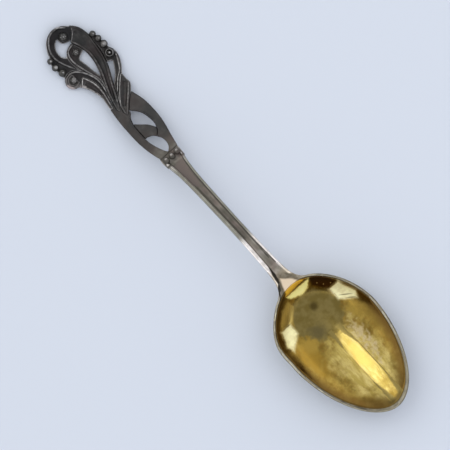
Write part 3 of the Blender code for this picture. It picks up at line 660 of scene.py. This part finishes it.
STEM_TOP = float(read(ARC, STEM_END)) + TOP_RISE + 0.1
STEM_BOTTOM = float(read(ARC, STEM_END)) + TOP_RISE - STEM_THICK
STEM_CROWN = np.array(crown(float(NECK[0, 1])))
TAB = smooth([(STEM_END, 1.4), (HEEL - 2.6, 1.3), (HEEL - 0.6, 1.8), (HEEL + 0.4, 2.6), (HEEL + 1.4, 3.9),
              (HEEL + 2.4, 5.35), (HEEL + 3.4, 6.7), (HEEL + 4.4, 8.1), (HEEL + 6, HALF_WIDTH)], 8)
RIDGE = smooth([(STEM_END, STEM_TOP), (STEM_END + 2.5, STEM_TOP - 0.8), (HEEL - 1.5, rim_level(HEEL) + 0.35),
                (HEEL + 0.6, rim_level(HEEL + 0.6))], 8)
KEEL = smooth([(STEM_END, STEM_BOTTOM), (STEM_END + 2, STEM_BOTTOM - 0.5), (HEEL - 2, STEM_BOTTOM - 1.6),
               (HEEL, STEM_BOTTOM - 2.8), (HEEL + 2, STEM_BOTTOM - 3.9), (HEEL + 4, STEM_BOTTOM - 4.4),
               (HEEL + 8, STEM_BOTTOM)], 8)
SHOULDER_STATIONS = [STEM_END, STEM_END + 3, HEEL, HEEL + 4, HEEL + 6]
SHOULDER_DROPS = [0.3, 0.75, 0.85, 0.3, 0.08]


def soft_least(a, b, blend):
    """The lesser of two heights, with a round corner where they cross."""
    share = np.clip(0.5 + 0.5 * (b - a) / blend, 0, 1)
    return b + (a - b) * share - blend * share * (1 - share)


def top_level(station, side):
    """Tab, shoulders and rim. The threads of the stem run on and die out, and its end is covered."""
    ridge = np.where(station < RIDGE[-1, 0], read(RIDGE, station), rim_level(station))
    half = half_width(station, side)
    tab = np.minimum(read(TAB, station), half - RIM_EDGE)
    drop = np.interp(station, SHOULDER_STATIONS, SHOULDER_DROPS)
    beyond = np.clip((np.abs(side) - tab) / (half - tab), 0, 1)
    across = side * NECK[0, 1] / np.maximum(half, RIM_EDGE)
    stem_like = read(ARC, station) + TOP_RISE + read(STEM_CROWN, across)
    share = np.clip((station - STEM_END - SEAM) / FADE, 0, 1)
    share = share * share * (3 - 2 * share)
    cover = 0.02 * np.clip(STEM_END + 1.1 - station, 0, 1)
    return (1 - share) * stem_like + share * (ridge - drop * beyond ** 1.3) + cover


def bottom_level(station, side, share):
    """Outside of the bowl, filleted into the round back of the neck, with a flat worn foot."""
    drop = (RIM_LEVEL - RIM_EDGE + FOOT_WEAR) / (1 - FOOT ** FULLNESS)
    dish = rim_level(station) - RIM_EDGE - drop * (1 - share ** FULLNESS)
    keel = read(KEEL, station)
    half = half_width(station, side)
    edge = top_level(station, np.copysign(half, side)) - WALL
    back = keel + (edge - keel) * np.minimum(1.0, np.abs(side) / np.maximum(half, RIM_EDGE)) ** 2.2
    return np.maximum(0.0, soft_least(dish, back, FILLET))


print("rim at", rim_level(POLE), "mm, neck at", round(STEM_TOP, 1), "mm above the table")

# %% [markdown]
# ## Skin of the bowl
# The real bowl is raised from sheet. A mirror finish shows every flaw of a coarse mesh, so the bowl
# is drawn afresh and finely instead of copied: one ring of points after another, up the hollow,
# over the thin rim, and back underneath.

# %% Skin of the bowl
def place(distance):
    """Stations and sides at some distance from the pole in each direction."""
    return POLE + distance * np.cos(DIRECTIONS), distance * np.sin(DIRECTIONS)


def hollow_ring(inset, depth, share):
    station, side = place(share * egg_reach(DIRECTIONS, inset))
    return spot(station, side, rim_level(station) - depth * (1 - share ** FULLNESS))


def shoulder_ring(part, level):
    inner = egg_reach(DIRECTIONS, RIM)
    distance = inner + part * (OUTLINE_REACH - inner)
    station, side = place(distance)
    return spot(station, side, level(station, side, distance / egg_reach(DIRECTIONS, 0)))


def outside_ring(part):
    distance = part * egg_reach(DIRECTIONS, RIM)
    station, side = place(distance)
    return spot(station, side, bottom_level(station, side, distance / egg_reach(DIRECTIONS, 0)))


shares = np.linspace(0.03, 1, 40)
parts = np.linspace(0.04, 1, 25)
rings = [hollow_ring(RIM, DEPTH, share) for share in shares]
rings += [shoulder_ring(part, lambda station, side, share: top_level(station, side)) for part in parts]
rings += [shoulder_ring(part, bottom_level) for part in parts[::-1]]
rings += [outside_ring(part) for part in shares[::-1]]
bowl = skin("worn_bowl", rings)
print("bowl:", len(bowl.data.vertices), "points")

# %% [markdown]
# ## Wear and silver of the bowl
# Hands and cloths polish the bowl in a line just inside the rim, along both edges of the neck, and
# on its outside. The bowl is drawn by formula, so the wear can be too: the distance of each point
# from the outline says where the bright line runs. Near the tip it is fainter. The neck has a pale
# tongue next to the gold, and the painted shadow band of the stem ends on it.

# %% Wear and silver of the bowl
TIP_START, TIP_BLEND = 118, 14
NECK_STOPS, NECK_BLEND = 96, 2

points = mesh_points(bowl.data)[0] / MM + (LENGTH / 2, 0, 0)
station, side, height = points.T
angle, distance = np.arctan2(side, station - POLE), np.hypot(station - POLE, side)
edge_angles, edge_reaches = zip(*sorted(zip(DIRECTIONS, OUTLINE_REACH)))
to_rim = np.interp(angle, edge_angles, edge_reaches, period=2 * math.pi) - distance
to_edge = half_width(station, side) - np.abs(side)
to_tip = np.clip((station - TIP_START) / TIP_BLEND, 0, 1)
on_neck = np.clip((NECK_STOPS - station) / NECK_BLEND, 0, 1)

rim_crest = np.where(side > 0, 0.6, 0.4) - 0.15 * to_tip
rim_line_worn = (1 - 0.45 * to_tip) * np.exp(-((to_rim - rim_crest) / 0.24) ** 2)
neck_line_worn = np.exp(-((to_edge - np.where(side > 0, 0.38, 0.42)) / 0.36) ** 2)
worn = on_neck * neck_line_worn + (1 - on_neck) * rim_line_worn
under = np.clip(rim_level(station) - height - 0.7, 0, 1) * (1 - on_neck)
write_attribute(bowl.data, "worn", np.maximum(worn, 0.6 * under))

RIM_STOP = (((0.075, 0.065, 0.045), (0.15, 0.135, 0.09), (0.22, 0.20, 0.15)),
            ((0.60, 0.56, 0.43), (0.34, 0.30, 0.21)))
TONGUE = [([(88.8, -0.4), (90.6, -1.05), (93.4, -2.9), (94.9, -3.2), (94.9, 4.6), (92.3, 1.7), (90.4, 0.6)],
           0.3, (0.80, 0.65, 0.46)),
          ([(89.2, 1.2), (90.4, 1.2), (92.4, 2.4), (94.6, 5.2), (93.6, 5.2), (91.4, 2.9), (89.4, 2.0)],
           0.25, (0.15, 0.13, 0.09))]
BOWL_STOPS = (*SHINE_TO_NECK, (93, *NECK_STOP), (95, *RIM_STOP))
BOWL_SILVER = aged_silver("bowl_silver", BOWL_STOPS, 0.5, TONGUE + PAINTED_SHADOW_BAND)
dress(bowl, "bowl", BOWL_SILVER)
print("bowl's worn share:", round(float(worn.mean()), 2))

# %% [markdown]
# ## Gold wash
# A thin skin of gold lines the hollow. Noise at two sizes mottles it, brushed streaks run along the
# bowl, and it is redder by the walls and paler toward the tip, with a painted reflection of brighter
# yellow in the middle of the light strip. The deep middle is painted olive with a darker patch and a
# dark spot, a painted reflection of something dark overhead, and above the middle it has worn to a
# pinkish silver. One even gold would be quicker, but it would look new.

# %% Gold wash
gilt = Graph(bpy.data.materials.new("gold_wash"))
mottle = gilt.noise(330, 6, 0.62)
brushed = gilt.noise(800, 4, 0.6, stretch=(0.06, 1, 1), turn=0.06)
gold = gilt.mix(gilt.ramp(mottle, 0.35, 0.65), (0.20, 0.127, 0.022), (0.36, 0.250, 0.056))
gold = gilt.mix(gilt.ramp(gilt.noise(900, 5), 0.45, 0.75, 0.0, 0.6), gold, (0.22, 0.11, 0.018))
pale = gilt.mix(gilt.ramp(brushed, 0.35, 0.65), (0.46, 0.345, 0.082), (0.68, 0.535, 0.185))
olive = gilt.mix(gilt.ramp(mottle, 0.4, 0.6), (0.160, 0.116, 0.030), (0.205, 0.155, 0.050))

WALL_TINTS = ((112, -8.6, 9, 3.6, 0.1, (0.33, 0.20, 0.030)),
              (108.5, -6.5, 3.5, 3.5, 0.1, (0.38, 0.245, 0.045)),
              (110, 8.5, 3.5, 2.4, 0.1, (0.34, 0.225, 0.043)),
              (113.5, 11.2, 11, 3.2, -0.1, (0.16, 0.105, 0.021)))
for station, side, along, across, turn, tint in WALL_TINTS:
    gold = gilt.mix(gilt.patch(at(station, side), reach(along, across), turn, 0.2, 0.3), gold, tint)
gold = gilt.mix(gilt.patch(at(121.5, 0.7), reach(16, 8.6), 0.0, 0.4, 0.3), gold, pale)
# Painted reflection: brighter yellow in the middle of the light strip.
gold = gilt.mix(gilt.patch(at(120.5, 1.3), reach(5.5, 2.4), 0.0, 0.3, 0.3), gold, (0.66, 0.45, 0.12))

# Painted reflection of something dark overhead: olive in the deep middle.
PAINTED_OVERHEAD_REFLECTION = [(96.9, 3.5), (96.9, -1.5), (99.0, -5.2), (104.5, -7.3), (110.3, -3.5), (111.2, 2.0), (108.6, 6.2),
          (104.0, 7.7), (99.3, 6.6)]
gold = gilt.mix(gilt.facet(PAINTED_OVERHEAD_REFLECTION, 0.8, 0.9), gold, olive)
# Painted reflection: a darker olive patch and a dark spot inside the overhead one.
gold = gilt.mix(gilt.patch(at(107.6, -2.6), reach(3.2, 4.0), -0.5, 0.1, 0.4), gold, (0.135, 0.105, 0.040))
gold = gilt.mix(gilt.patch(at(101.7, 1.0), reach(1.7, 1.6), 0.0, 0.2, 0.2), gold, (0.080, 0.056, 0.015))
WORN_OFF = ((115.5, 5.2, 6.0, 2.4), (124.5, 4.2, 1.4, 0.7), (120, 5.6, 4.0, 1.6))
for station, side, along, across in WORN_OFF:
    spotty = gilt.patch(at(station, side), reach(along, across), -0.1, 0.0, 0.7, 900)
    gold = gilt.mix(gilt.math("MULTIPLY", spotty, 0.7), gold, (0.60, 0.47, 0.25))
print("gold:", len(WALL_TINTS), "wall tints,", len(WORN_OFF), "worn places")

# %% [markdown]
# ## What the gold mirrors
# Polished gold shows the room more than itself. A photographer's room could be built round the
# spoon, but here the light is plain and soft. So the shapes that the photograph shows mirrored, the
# cream patches, the olive one, the amber one and the red-brown one, are painted reflections, given to
# the finish as corners in millimetres. Where such a patch is bright the finish is duller and less
# metal, so that it keeps its tint whatever the light does. The wall darkens toward the rim, two
# painted dark reflection lines follow the bright strip and more run along some patches, three small
# painted highlights lie by the red-brown patch, and four wedges of painted shade narrow the strip's
# ends.

# %% What the gold mirrors
past_tip = gilt.patch(at(134, 1.2), reach(6, 2.6), 0.0, 0.2)
edge = gilt.math("SUBTRACT", gilt.attribute("edge"), past_tip)
gold = gilt.mix(gilt.ramp(edge, 0.80, 0.97, 0.0, 0.85), gold, (0.11, 0.062, 0.016))
# Painted shade: four wedges that narrow the ends of the bright strip.
STRIP_END_SHADE = ([(109.5, 3.35), (109.5, 1.5), (112.5, 2.1), (117.0, 3.35)],
                [(109.5, 0.3), (109.5, -0.9), (117.0, -0.9), (112.5, 0.1)],
                [(126.0, 3.35), (131.0, 2.5), (135.4, 1.6), (135.4, 3.35)],
                [(126.0, -0.9), (135.4, -0.9), (135.4, 0.9), (131.0, 0.0)])
for corners in STRIP_END_SHADE:
    gold = gilt.mix(gilt.facet(corners, 0.2, 0.15), gold, (0.24, 0.18, 0.055))
TIP_SHADE = [(133.9, -1.5), (136.3, -1.5), (136.3, 3.6), (133.9, 3.6)]
gold = gilt.mix(gilt.facet(TIP_SHADE, 0.7, 0.3), gold, (0.10, 0.07, 0.022))

# Each painted reflection has a bright and a deep tint, the softness of its edge, its glow and its corners.
PAINTED_REFLECTIONS = {
    "olive by the lower wall": (
        (0.50, 0.37, 0.10), (0.36, 0.26, 0.07), 0.4, 0.3,
        [(96.0, -3.2), (97.0, -6.3), (99.5, -9.2), (101.2, -10.3), (101.2, -6.2), (98.0, -3.0)]),
    "cream by the upper wall": (
        (1.00, 0.97, 0.58), (0.60, 0.48, 0.19), 0.6, 0.8,
        [(100.9, 7.0), (104.8, 7.2), (107.9, 11.3), (106.0, 12.1), (100.8, 10.3)]),
    "cream by the lower wall": (
        (1.00, 0.94, 0.52), (0.54, 0.42, 0.15), 0.6, 0.8,
        [(100.9, -6.8), (100.9, -10.2), (105.2, -11.8), (107.1, -11.0), (104.3, -7.0)]),
    "cream by the neck": (
        (1.00, 0.96, 0.40), (0.95, 0.76, 0.22), 0.4, 0.9,
        [(95.0, -2.8), (96.2, -2.4), (97.3, 1.0), (97.0, 3.2), (95.0, 5.2)]),
    "amber by the neck": (
        (0.85, 0.50, 0.036), (0.42, 0.20, 0.012), 0.3, 1.0,
        [(93.4, -2.0), (94.7, -2.9), (94.7, 4.2), (93.6, 2.8), (93.1, 0.5)]),
    "red-brown": (
        (0.075, 0.034, 0.010), (0.040, 0.016, 0.005), 0.5, 0.0,
        [(95.1, 5.2), (97.3, 4.3), (100.8, 7.2), (100.7, 9.8), (98.0, 8.7), (95.6, 6.6)])}
cloudy = gilt.ramp(gilt.noise(600, 4, 0.6, stretch=(1, 0.25, 1), turn=0.5), 0.3, 0.6, 0.55, 1.0)
dull = 0.0
for bright, deep, soft, glow, corners in PAINTED_REFLECTIONS.values():
    mask = gilt.facet(corners, soft, 0.2)
    inner = gilt.math("MULTIPLY", gilt.facet(corners, 1.1), cloudy)
    gold = gilt.mix(mask, gold, gilt.mix(inner, deep, bright))
    dull = gilt.math("MAXIMUM", dull, gilt.math("MULTIPLY", mask, glow))

ACROSS = math.pi / 2
# Painted reflection: dark lines along the bright strip and at the edges of some mirrored patches.
PAINTED_REFLECTION_LINES = ((100.95, -7.9, 2.2, 0.16, ACROSS, 0.75), (100.9, 8.6, 1.4, 0.14, ACROSS, 0.75),
              (94.85, 0.5, 3.6, 0.15, ACROSS, 0.75), (105.0, 9.4, 2.6, 0.25, 0.95, 0.7),
              (106.5, 9.9, 2.2, 0.22, 0.95, 0.6), (122.5, 3.4, 11.5, 0.2, 0.0, 0.75),
              (124.0, -0.8, 10.0, 0.2, 0.0, 0.4))
for station, side, along, across, turn, weight in PAINTED_REFLECTION_LINES:
    line = gilt.patch(at(station, side), reach(along, across), turn, 0.3)
    gold = gilt.mix(gilt.math("MULTIPLY", line, weight), gold, (0.10, 0.065, 0.015))
# Three small painted highlights by the red-brown patch.
for station, side in ((97.6, 5.8), (100.0, 8.5), (99.0, 6.9)):
    gold = gilt.mix(gilt.patch(at(station, side), reach(0.22, 0.22), 0.0, 0.3), gold, (0.75, 0.62, 0.35))
print("mirrored:", ", ".join(PAINTED_REFLECTIONS))

# %% [markdown]
# ## Lining of the bowl
# The gold needs a body of its own, a skin over the silver. It has the rings of the hollow once more,
# a little inside it and much finer, because its highlight is the first thing one sees. Each point
# keeps its share of the way to the rim as the attribute `edge`, by which the wall darkens.

# %% Lining of the bowl
LINING = 0.2
shares = np.append(np.linspace(0.02, 0.97, 70), 0.985)
back = shares[::-6]
rings = [hollow_ring(RIM + SEAM + LINING, DEPTH - SEAM - LINING, share) for share in shares]
rings += [hollow_ring(RIM + SEAM, DEPTH - SEAM, share) for share in back]
lining = skin("gold_wash", rings)
levels = np.append(np.repeat(np.append(shares, back), len(DIRECTIONS)), (0, 0))
write_attribute(lining.data, "edge", levels)

satin = gilt.ramp(mottle, 0.3, 0.7, 0.13, 0.24)
rough = gilt.math("MAXIMUM", satin, gilt.math("MULTIPLY", dull, 0.42))
shine = gilt.bump(brushed, 0.012 * MM, 0.5, gilt.bump(gilt.noise(700, 4), 0.03 * MM, 0.3))
GOLD = metal(gilt, gold, rough, shine)
less_metal = gilt.math("SUBTRACT", 1.0, gilt.math("MULTIPLY", dull, 0.6))
gilt.feed(gilt.tree.nodes["Principled BSDF"].inputs["Metallic"], less_metal)
dress(lining, "gilt_lining", GOLD)
print("lining:", len(lining.data.vertices), "points")

# %% [markdown]
# ## Table and light
# The spoon lies on pale blue-grey paper. The room is pale overhead and a little brighter near the
# horizon. Metal shows what it mirrors, so the room also has one brighter window, the lens where two
# soft discs cross: it gives the hollow its long light strip. One large soft lamp stands at the upper
# side and lays the faint shadow on the lower side. It isn't mirrored, since a square lamp would show
# in every bead.

# %% Table and light
TABLE_SIZE, LAMP_SIZE, LAMP_ENERGY = 1.6, 0.8, 0.9
OVERHEAD, HORIZON, WINDOW = (0.9, 0.92, 0.98), (1.5, 1.5, 1.55), (2.1, 2.1, 2.05)

bpy.ops.mesh.primitive_plane_add(size=TABLE_SIZE)
table = bpy.context.object
table.name = "table"
paper = bpy.data.materials.new("paper")
paper.use_nodes = True
paper.node_tree.nodes["Principled BSDF"].inputs["Base Color"].default_value = (0.58, 0.62, 0.685, 1)
paper.node_tree.nodes["Principled BSDF"].inputs["Roughness"].default_value = 0.9
table.data.materials.append(paper)

room = Graph(bpy.data.worlds.new("room"), "Generated")
scene.world = room.owner
ceiling = room.patch((0.06, 0, 1), (0.97, 0.97, 3), core=0.96)
light = room.mix(ceiling, HORIZON, OVERHEAD)
discs = [room.patch((-0.48, side, 0.8), (radius, radius, 3), core=core)
         for side, radius, core in ((-0.339, 0.50, 0.75), (0.079, 0.469, 0.94))]
light = room.mix(room.math("MINIMUM", *discs), light, WINDOW)
room.feed(room.tree.nodes["Background"].inputs["Color"], light)

lamp = bpy.data.objects.new("lamp", bpy.data.lights.new("lamp", "AREA"))
scene.collection.objects.link(lamp)
lamp.data.size = LAMP_SIZE
lamp.data.energy = LAMP_ENERGY
lamp.location = (0.1, 0.5, 0.8)
lamp.rotation_euler = (-lamp.location).to_track_quat("-Z", "Y").to_euler()
lamp.visible_glossy = False
print("lamp", round(lamp.location.length, 2), "m from the spoon")
